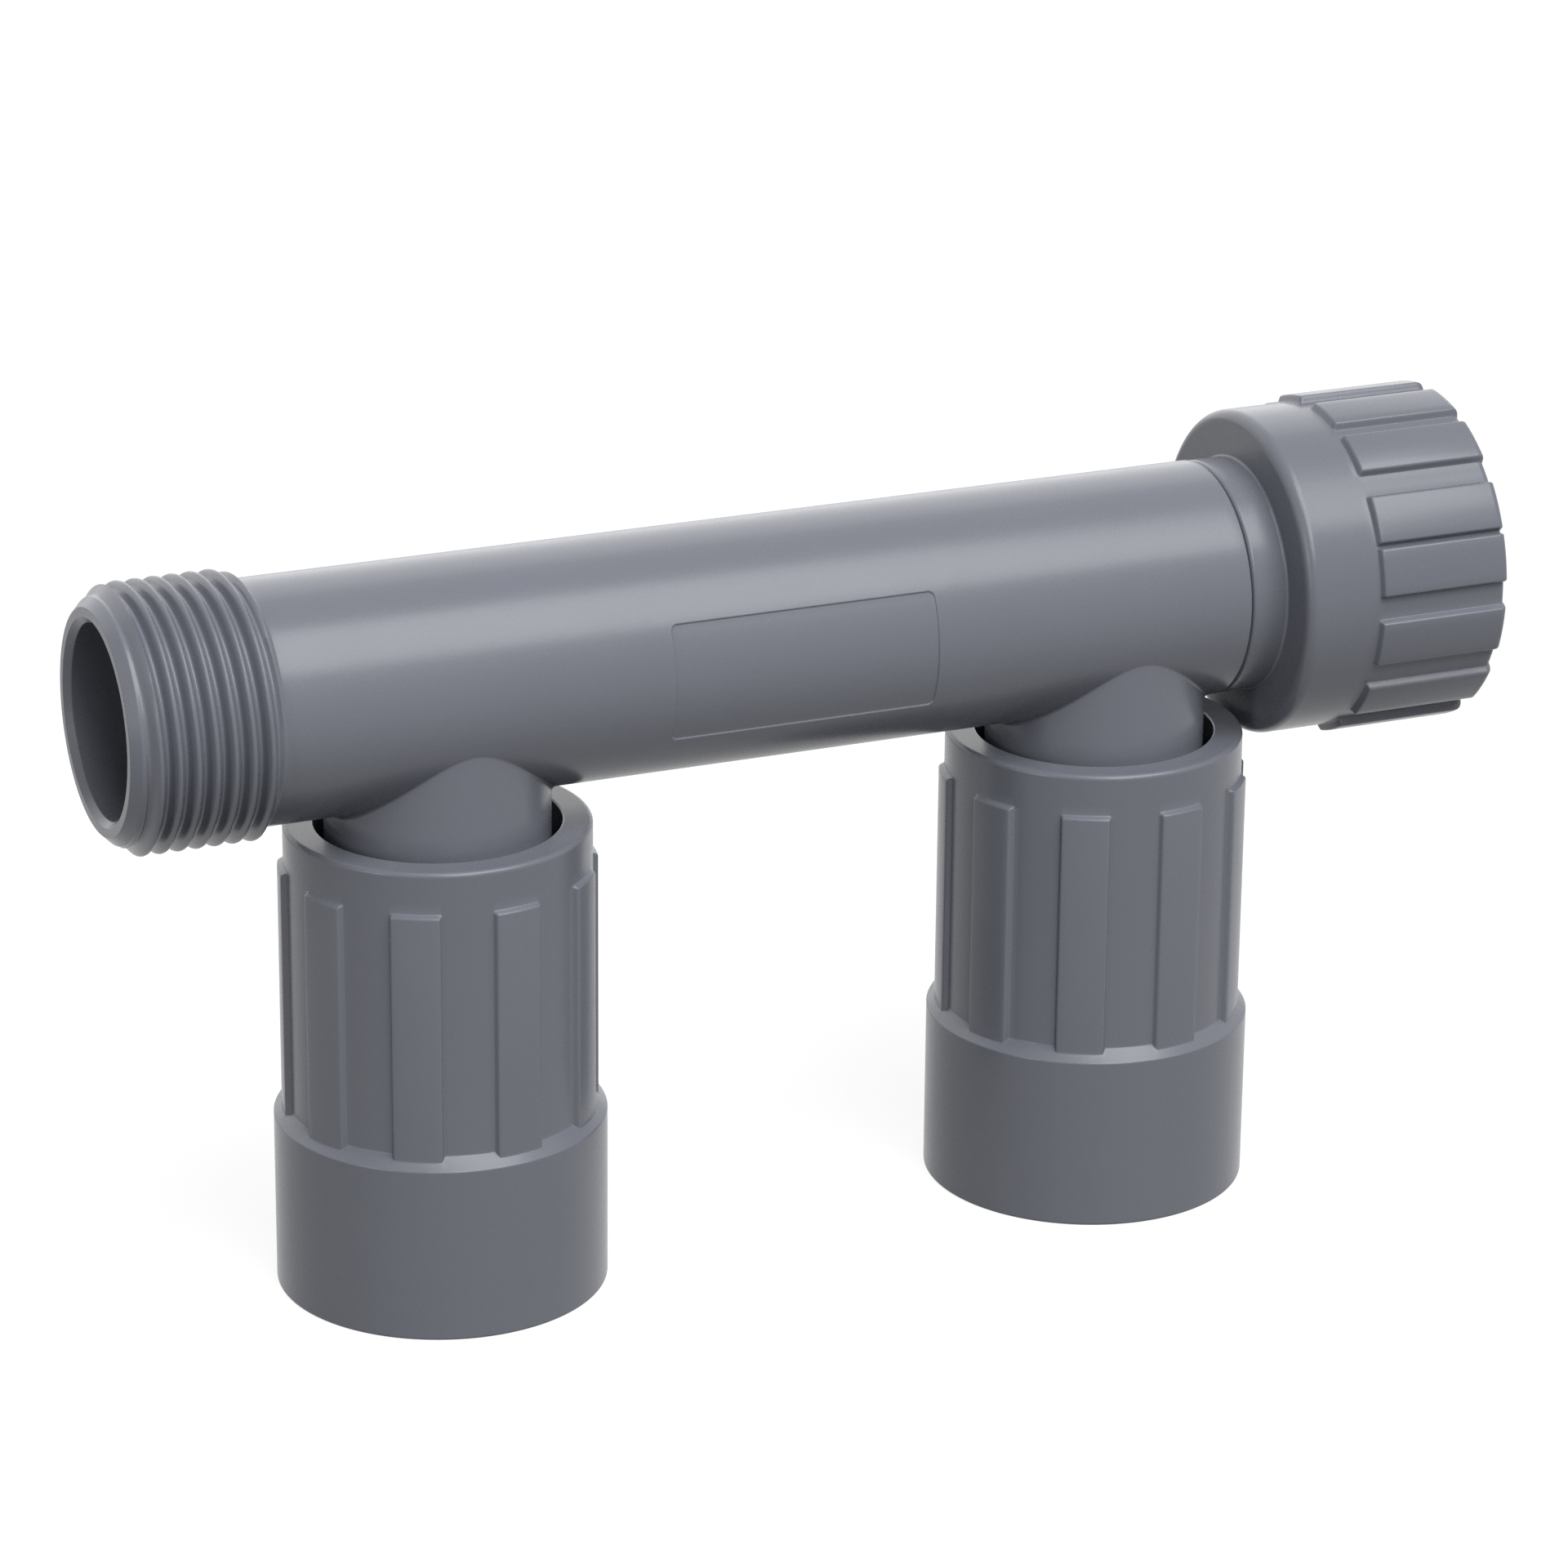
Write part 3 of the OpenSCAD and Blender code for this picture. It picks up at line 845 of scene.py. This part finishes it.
def mouth_corners(end, chamfer, inward):
    """Corners from an inside thread's outer end over the chamfer to the end face."""
    return [
        (THREAD_MINOR_R, end + inward * (chamfer + MOUTH_SETBACK - ROW_GAP), 0),
        (THREAD_MINOR_R, end + inward * chamfer, EDGE_ROUND),
        (THREAD_MINOR_R + chamfer, end, SLIGHT_ROUND),
    ]


def chamber_corners(sizes, lip_edge, thread_edge, onward):
    """Corners from the lip's inner edge through the chamber to the inside thread.

    onward is 1 where the thread lies further along the axis than the lip, and -1 where not.
    """
    lip_r = sizes.lip_bore / 2
    chamber_r = sizes.chamber_d / 2
    taper = chamber_r - THREAD_MINOR_R
    return [
        (lip_r, lip_edge, EDGE_ROUND),
        (chamber_r, lip_edge, EDGE_ROUND),
        (chamber_r, thread_edge - onward * taper, FINE_ROUND),
        (THREAD_MINOR_R, thread_edge, FINE_ROUND),
        (THREAD_MINOR_R, thread_edge + onward * (CHAMBER_SETBACK - ROW_GAP), 0),
    ]


def add_inside_thread(skin, place, angles, low, high, pitch, crest, hand):
    """Adds an inside thread that fades at both ends, and returns its end rows."""
    depth = THREAD_MAJOR_R - THREAD_MINOR_R
    run = pitch * INSIDE_FADE

    def radius_of(height, along):
        fade = smooth(along, low, low + run) * (1 - smooth(along, high - run, high))
        return THREAD_MINOR_R + depth * height * fade

    return thread_rows(skin, place, angles, low, high, pitch, crest, hand, radius_of)


def socket_ribs(sizes):
    """Angles of a socket's ribs: five in front, and the others evenly over the rest."""
    middle = sizes.rib_turn - math.pi / 2
    front = [middle + k * sizes.rib_pitch for k in range(-2, 3)]
    others = sizes.rib_count - len(front)
    step = (FULL_TURN - (len(front) - 1) * sizes.rib_pitch) / (others + 1)
    return front + [front[-1] + step * (k + 1) for k in range(others)]


def build_socket(side, sizes, pitch):
    """An outlet socket: collar, gripped part with ribs, open rim, lip and inside thread."""
    skin = Skin()
    place = round_outlet(OUTLET_X[side])
    body_r = sizes.body_d / 2
    collar_r = sizes.collar_d / 2
    rim_r = sizes.rim_bore / 2
    ribs = Ribs(socket_ribs(sizes), sizes.rib_w, body_r)
    wall = body_r + sizes.rib_rise * ribs.share

    # Mouth, collar and its sloped top, which the ribs' feet stand on
    slope = sizes.collar_fall / (collar_r - body_r)
    collar_edge = sizes.collar_h - sizes.collar_fall
    outline = rounded([
        *mouth_corners(0, sizes.mouth_chamfer, 1),
        (collar_r, 0, sizes.foot_break),
        (collar_r, collar_edge, sizes.collar_round),
        (body_r, sizes.collar_h, 0),
    ], steps=6)[:-1]
    foot = collar_edge + slope * (collar_r - wall)
    for share in np.linspace(0, 1, 5):
        outline.append((wall + FOOT_BLEND * (1 - share) ** 2,
                        foot + FOOT_BLEND * (share ** 2 - slope * (1 - share) ** 2)))
    outline.append((wall, foot + FOOT_ROW))

    # Rib tops, then the plain band and the rim
    rib_top = SOCKET_TOP - sizes.rib_drop
    for offset, share in reversed(RIB_SIDE):
        outline.append((body_r + sizes.rib_rise * ribs.share * share, rib_top - offset * MM))
    lip_top = sizes.lip_low + sizes.lip_t
    outline += rounded([
        (body_r, rib_top + ABOVE_RIBS, 0),
        (body_r, SOCKET_TOP, sizes.rim_round),
        (rim_r, SOCKET_TOP, SOFT_ROUND),
        (rim_r, lip_top, EDGE_ROUND),
        (sizes.lip_bore / 2, lip_top, EDGE_ROUND),
        *chamber_corners(sizes, sizes.lip_low, sizes.thread_top, -1),
    ], steps=6)
    rows = add_rows(skin, place, ribs.angles, outline)
    low_row, high_row = add_inside_thread(
        skin, place, ribs.angles, sizes.mouth_chamfer + MOUTH_SETBACK,
        sizes.thread_top - CHAMBER_SETBACK, pitch, 0, 1,
    )
    skin.loft([low_row] + rows + [high_row])
    return skin.build(f"{side}_socket_moulding")


def build_nut(sizes, pitch):
    """The union nut: ribs, rounded shoulder, hub, lip and inside thread."""
    skin = Skin()
    body_r = sizes.body_d / 2
    hub_r = sizes.hub_d / 2
    centres = [math.radians(90 + angle) for angle in NUT_FRONT_RIBS + NUT_BACK_RIBS]
    ribs = Ribs(centres, sizes.rib_w, body_r)
    rise = sizes.rib_rise * ribs.share
    back = NUT_END - sizes.body_l

    # From the mouth's chamfer over the open end, whose round follows the ribs
    outline = rounded([
        *mouth_corners(NUT_END, sizes.mouth_chamfer, -1),
        (body_r - sizes.end_round - SOFT_ROUND, NUT_END, 0),
    ])
    end_r, end_x = body_r - sizes.end_round + rise, NUT_END - sizes.end_round
    outline.append((end_r - ROW_GAP, NUT_END))
    for turn in np.linspace(0, math.pi / 2, 7):
        outline.append((end_r + sizes.end_round * math.sin(turn),
                        end_x + sizes.end_round * math.cos(turn)))
    outline.append((body_r + rise, end_x - ROW_GAP))
    rib_start = back + sizes.band
    for offset, share in reversed(RIB_SIDE):
        outline.append((body_r + rise * share, rib_start + offset * MM))

    # Band, shoulder, back face, hub and the lip that turns on the spigot
    thread_start = NUT_END - sizes.thread_length
    outline += rounded([
        (body_r, rib_start - BEFORE_RIBS, 0),
        (body_r, back, sizes.shoulder_round),
        (hub_r, back, sizes.hub_blend),
        (hub_r, NUT_START, sizes.hub_break),
        (sizes.lip_bore / 2, NUT_START, FINE_ROUND),
        *chamber_corners(sizes, back + sizes.back_wall_t, thread_start, 1),
    ], steps=8)
    rows = add_rows(skin, round_run, ribs.angles, outline)
    low_row, high_row = add_inside_thread(
        skin, round_run, ribs.angles, thread_start + CHAMBER_SETBACK,
        NUT_END - sizes.mouth_chamfer - MOUTH_SETBACK, pitch, NUT_END, -1,
    )
    skin.loft([high_row] + rows + [low_row])
    return skin.build("union_nut_moulding")


def ring_section(inner_r, outer_r, low, high, rounding):
    """A rectangular section with rounded corners, as a closed outline."""
    return rounded([
        (inner_r, low, rounding), (outer_r, low, rounding),
        (outer_r, high, rounding), (inner_r, high, rounding),
    ], steps=4, guard=0.02 * MM)


def build_split_ring(name, place, split_angle, sizes, low, high):
    """A snap ring: a bar of rounded section bent round, with a split."""
    skin = Skin()
    section = ring_section(sizes.ring_bore / 2, sizes.outer_d / 2, low, high, sizes.edge_round)
    radii, along = np.array(section).T
    half = sizes.split / sizes.outer_d
    rows = []
    for angle in np.linspace(
        split_angle + half, split_angle + FULL_TURN - half, RUN_COLUMNS + 1
    ):
        rows.append(skin.row(place(radii, angle, along)))
    skin.loft(rows)
    skin.faces += [tuple(rows[0]), tuple(rows[-1])]
    return skin.build(name)


def build_gasket(name, place, bore_d, sizes, low, high):
    """A flat ring of rubber with slightly rounded edges."""
    skin = Skin()
    section = ring_section(bore_d / 2, sizes.outer_d / 2, low, high, sizes.gasket_round)
    angles = np.arange(RUN_COLUMNS) * FULL_TURN / RUN_COLUMNS
    skin.loft(add_rows(skin, place, angles, section), closed=True)
    return skin.build(name)


def set_inputs(node, values):
    """Sets a node's inputs, given by their names."""
    for label, value in values.items():
        node.inputs[label].default_value = value


def math_node(tree, operation, first, second):
    """The result of a Math node, worked out from numbers or from other nodes' outputs."""
    made = tree.nodes.new("ShaderNodeMath")
    made.operation = operation
    for socket, value in zip(made.inputs, (first, second)):
        if isinstance(value, (int, float)):
            socket.default_value = value
        else:
            tree.links.new(value, socket)
    return made.outputs[0]


def new_material(name):
    """A new material, with its node tree and its shader."""
    material = bpy.data.materials.new(name)
    material.use_nodes = True
    return material, material.node_tree, material.node_tree.nodes["Principled BSDF"]


def new_group(name, inputs, outputs):
    """An empty shader node group with named inputs and outputs."""
    group = bpy.data.node_groups.new(name, "ShaderNodeTree")
    for label, kind, default in inputs:
        socket = group.interface.new_socket(label, in_out="INPUT", socket_type=kind)
        if default is not None:
            socket.default_value = default
    for label, kind in outputs:
        group.interface.new_socket(label, in_out="OUTPUT", socket_type=kind)
    return group, group.nodes.new("NodeGroupInput"), group.nodes.new("NodeGroupOutput")


def moulded_surface():
    """Fine grain, slow mottling of tone and gloss: the surface of a moulded plastic."""
    group, given, result = new_group(
        "Moulded surface",
        [("Colour", "NodeSocketColor", None), ("Roughness", "NodeSocketFloat", 0.4),
         ("Grain size", "NodeSocketFloat", 0.2 * MM), ("Tone spread", "NodeSocketFloat", 0.05),
         ("Gloss spread", "NodeSocketFloat", 0.06)],
        [("Colour", "NodeSocketColor"), ("Roughness", "NodeSocketFloat"),
         ("Height", "NodeSocketFloat")],
    )
    nodes, links = group.nodes, group.links
    place = nodes.new("ShaderNodeTexCoord").outputs["Object"]

    def noise(detail, scale=1.0):
        made = nodes.new("ShaderNodeTexNoise")
        set_inputs(made, {"Scale": scale, "Detail": detail})
        links.new(place, made.inputs["Vector"])
        return made

    def work_out(operation, first, second):
        return math_node(group, operation, first, second)

    slow = noise(detail=3, scale=SLOW_SCALE).outputs["Fac"]
    patches = noise(detail=4, scale=PATCH_SCALE).outputs["Fac"]
    fine = noise(detail=2)
    grain = fine.outputs["Fac"]
    links.new(work_out("DIVIDE", 1.0, given.outputs["Grain size"]), fine.inputs["Scale"])

    # Tone: one plus a share of the slow noise, on the colour
    centred = work_out("SUBTRACT", slow, 0.5)
    tone = work_out("ADD", work_out("MULTIPLY", centred, given.outputs["Tone spread"]), 1.0)
    scale = nodes.new("ShaderNodeVectorMath")
    scale.operation = "SCALE"
    links.new(given.outputs["Colour"], scale.inputs[0])
    links.new(tone, scale.inputs["Scale"])
    links.new(scale.outputs[0], result.inputs["Colour"])

    # Gloss: the roughness with patches and grain on it, both centred on a half
    centred = work_out("SUBTRACT", work_out("ADD", patches, grain), 1.0)
    spread = work_out("MULTIPLY", centred, given.outputs["Gloss spread"])
    links.new(work_out("ADD", given.outputs["Roughness"], spread), result.inputs["Roughness"])
    height = work_out("ADD", grain, work_out("MULTIPLY", patches, PATCH_HEIGHT))
    links.new(height, result.inputs["Height"])
    return group


def surface_material(name, group, colour, roughness, grain_size, grain_height, tone_spread,
                     gloss_spread):
    """A material whose colour, roughness and bump come from the moulded surface group."""
    material, tree, shader = new_material(name)
    links = tree.links
    set_inputs(shader, {"Specular IOR Level": SPECULAR_LEVEL})
    surface = tree.nodes.new("ShaderNodeGroup")
    surface.node_tree = group
    set_inputs(surface, {
        "Colour": (*colour, 1), "Roughness": roughness, "Grain size": grain_size,
        "Tone spread": tone_spread, "Gloss spread": gloss_spread,
    })
    bump = tree.nodes.new("ShaderNodeBump")
    set_inputs(bump, {"Strength": 1.0, "Distance": grain_height})
    links.new(surface.outputs["Colour"], shader.inputs["Base Color"])
    links.new(surface.outputs["Roughness"], shader.inputs["Roughness"])
    links.new(surface.outputs["Height"], bump.inputs["Height"])
    links.new(bump.outputs["Normal"], shader.inputs["Normal"])
    return material


MATERIALS = {}


def make_materials(finish):
    """The four materials, built once for all pieces."""
    group = moulded_surface()
    plastics = (
        ("moulded_body", "Body plastic", finish.body_colour),
        ("moulded_nuts", "Nut plastic", finish.nut_colour),
    )
    for slot_name, name, colour in plastics:
        MATERIALS[slot_name] = surface_material(
            name, group, colour, finish.plastic_roughness, finish.grain_size,
            finish.grain_height, tone_spread=0.06, gloss_spread=0.06,
        )
    MATERIALS["snap_ring"] = surface_material(
        "Ivory acetal", group, finish.ring_colour, roughness=0.3, grain_size=0.3 * MM,
        grain_height=0.003 * MM, tone_spread=0.04, gloss_spread=0.05,
    )
    MATERIALS["gasket"] = surface_material(
        "Black rubber", group, finish.gasket_colour, roughness=0.62, grain_size=0.35 * MM,
        grain_height=0.012 * MM, tone_spread=0.2, gloss_spread=0.1,
    )


def finish_piece(piece, body, node, slot_name):
    """Dresses a piece, hangs it under the empty of the body it rides on, and hides the packed node
    whose place it takes.
    """
    piece.data.materials.append(MATERIALS[slot_name])
    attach(piece, body)
    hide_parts(node)


class MANIFOLD_OT_materials(bpy.types.Operator):
    """Makes the plastic, acetal and rubber materials"""

    bl_idname = "manifold.materials"
    bl_label = "Make materials"

    def execute(self, context):
        make_materials(context.scene.manifold_finish)
        return {"FINISHED"}


class MANIFOLD_OT_body(bpy.types.Operator):
    """Builds the run tube with its thread, necks and label field"""

    bl_idname = "manifold.body"
    bl_label = "Build manifold body"

    def execute(self, context):
        piece = build_manifold(context.scene.manifold_run)
        finish_piece(piece, "manifold", "manifold_body", "moulded_body")
        return {"FINISHED"}


class MANIFOLD_OT_sockets(bpy.types.Operator):
    """Builds the two swivel sockets"""

    bl_idname = "manifold.sockets"
    bl_label = "Build swivel sockets"

    def execute(self, context):
        scene = context.scene
        for side in OUTLET_X:
            piece = build_socket(side, scene.manifold_socket, scene.manifold_run.thread_pitch)
            finish_piece(piece, f"{side}_socket", f"{side}_swivel_socket", "moulded_nuts")
        return {"FINISHED"}


class MANIFOLD_OT_nut(bpy.types.Operator):
    """Builds the union nut"""

    bl_idname = "manifold.nut"
    bl_label = "Build union nut"

    def execute(self, context):
        scene = context.scene
        piece = build_nut(scene.manifold_nut, scene.manifold_run.thread_pitch)
        finish_piece(piece, "union", "union_nut", "moulded_nuts")
        return {"FINISHED"}


class MANIFOLD_OT_rings(bpy.types.Operator):
    """Builds the three split snap rings"""

    bl_idname = "manifold.rings"
    bl_label = "Build snap rings"

    def execute(self, context):
        sizes = context.scene.manifold_rings
        for end, (place, split_angle, groove, _) in ENDS.items():
            piece = build_split_ring(f"{end}_split_ring", place, split_angle, sizes, *groove)
            finish_piece(piece, "manifold", f"{end}_snap_ring", "snap_ring")
        return {"FINISHED"}


class MANIFOLD_OT_gaskets(bpy.types.Operator):
    """Builds the three flat gaskets"""

    bl_idname = "manifold.gaskets"
    bl_label = "Build gaskets"

    def execute(self, context):
        sizes = context.scene.manifold_rings
        for end, (place, _, _, gasket) in ENDS.items():
            bore_d = sizes.union_bore if end == "union" else sizes.outlet_bore
            piece = build_gasket(f"{end}_flat_gasket", place, bore_d, sizes, *gasket)
            finish_piece(piece, "manifold", f"{end}_gasket", "gasket")
        return {"FINISHED"}


def seen_plainly(tree):
    """1 for rays from the camera, and for those seen by reflection or through glass."""
    path = tree.nodes.new("ShaderNodeLightPath").outputs
    seen = math_node(tree, "MAXIMUM", path["Is Camera Ray"], path["Is Glossy Ray"])
    return math_node(tree, "MAXIMUM", seen, path["Is Transmission Ray"])


def make_world(stage):
    """A plain white surround that lights the object evenly and is seen as white."""
    world = bpy.data.worlds.new("Surround")
    bpy.context.scene.world = world
    world.use_nodes = True
    tree = world.node_tree
    light = tree.nodes["Background"]
    strength = tree.nodes.new("ShaderNodeMapRange")
    set_inputs(light, {"Color": WHITE})
    set_inputs(strength, {"To Min": stage.ambient, "To Max": 1.0})
    tree.links.new(seen_plainly(tree), strength.inputs["Value"])
    tree.links.new(strength.outputs["Result"], light.inputs["Strength"])


def make_floor(stage):
    """A wide floor that is seen as white and keeps the object's shadow."""
    half = stage.floor_width / 2
    corners = [
        (x, y, -FLOOR_GAP) for x, y in ((-half, -half), (half, -half), (half, half), (-half, half))
    ]
    mesh = bpy.data.meshes.new("floor")
    mesh.from_pydata(corners, [], [(0, 1, 2, 3)])
    material, tree, shader = new_material("White floor")
    set_inputs(shader, {
        "Base Color": (FLOOR_GREY, FLOOR_GREY, FLOOR_GREY, 1), "Roughness": FLOOR_ROUGHNESS,
        "Specular IOR Level": 0.0, "Emission Color": WHITE,
    })
    glow = math_node(tree, "MULTIPLY", seen_plainly(tree), FLOOR_GLOW)
    tree.links.new(glow, shader.inputs["Emission Strength"])
    mesh.materials.append(material)
    floor = add_object("floor", mesh)


def direction(azimuth, elevation):
    """The way from the object to something at an azimuth from the front and an elevation."""
    return Vector((
        math.sin(azimuth) * math.cos(elevation),
        -math.cos(azimuth) * math.cos(elevation),
        math.sin(elevation),
    ))


def make_lamp(name, azimuth, elevation, width, height, power):
    """A soft rectangular lamp that faces the object, its angles given in degrees."""
    toward = direction(math.radians(azimuth), math.radians(elevation))
    lamp = bpy.data.lights.new(name, "AREA")
    lamp.shape = "RECTANGLE"
    lamp.size = width
    lamp.size_y = height
    lamp.energy = power
    holder = add_object(name, lamp)
    holder.location = Vector((0, 0, AXIS_Z)) + LAMP_DISTANCE * toward
    holder.rotation_euler = toward.to_track_quat("Z", "Y").to_euler()


def make_camera(stage):
    """The camera at the photograph's place and angle."""
    back = direction(stage.azimuth, stage.elevation)
    level = (-back).cross(Vector((0, 0, 1))).normalized()
    upright = level.cross(-back)
    right = math.cos(stage.roll) * level + math.sin(stage.roll) * upright
    up = math.cos(stage.roll) * upright - math.sin(stage.roll) * level
    data = bpy.data.cameras.new("camera")
    data.lens = stage.lens
    data.sensor_width = SENSOR_WIDTH
    data.clip_start = NEAREST_SEEN
    camera = add_object("camera", data)
    turned = Matrix((right, up, back)).transposed().to_4x4()
    camera.matrix_world = Matrix.Translation(Vector(stage.camera_place)) @ turned
    bpy.context.scene.camera = camera


class MANIFOLD_OT_stage(bpy.types.Operator):
    """Sets up the floor, the lamps, the surround and the camera"""

    bl_idname = "manifold.stage"
    bl_label = "Set the stage"

    def execute(self, context):
        stage = context.scene.manifold_stage
        make_world(stage)
        make_floor(stage)
        for name, form in LAMPS.items():
            make_lamp(name, *form, getattr(stage, f"{name}_power"))
        make_camera(stage)
        context.scene.view_settings.view_transform = "Standard"
        return {"FINISHED"}


OPERATORS = (
    MANIFOLD_OT_materials, MANIFOLD_OT_body, MANIFOLD_OT_sockets, MANIFOLD_OT_nut,
    MANIFOLD_OT_rings, MANIFOLD_OT_gaskets, MANIFOLD_OT_stage,
)


class MANIFOLD_PT_panel(bpy.types.Panel):
    """Lists the steps that build the manifold, and its sizes"""

    bl_idname = "MANIFOLD_PT_panel"
    bl_label = "Irrigation valve manifold"
    bl_space_type = "VIEW_3D"
    bl_region_type = "UI"
    bl_category = "Manifold"

    def draw(self, context):
        layout = self.layout
        for operator in OPERATORS:
            layout.operator(operator.bl_idname)
        for group_name, group in GROUPS.items():
            box = layout.box()
            box.label(text=group.__doc__)
            settings = getattr(context.scene, group_name)
            for field in group.__annotations__:
                box.prop(settings, field)


def register():
    for group_name, group in GROUPS.items():
        bpy.utils.register_class(group)
        setattr(bpy.types.Scene, group_name, PointerProperty(type=group))
    for operator in OPERATORS:
        bpy.utils.register_class(operator)
    bpy.utils.register_class(MANIFOLD_PT_panel)


def unregister():
    bpy.utils.unregister_class(MANIFOLD_PT_panel)
    for operator in reversed(OPERATORS):
        bpy.utils.unregister_class(operator)
    for group_name, group in reversed(GROUPS.items()):
        delattr(bpy.types.Scene, group_name)
        bpy.utils.unregister_class(group)


def main():
    register()
    bpy.ops.manifold.materials()
    bpy.ops.manifold.body()
    bpy.ops.manifold.sockets()
    bpy.ops.manifold.nut()
    bpy.ops.manifold.rings()
    bpy.ops.manifold.gaskets()
    bpy.ops.manifold.stage()


if __name__ == "__main__":
    main()
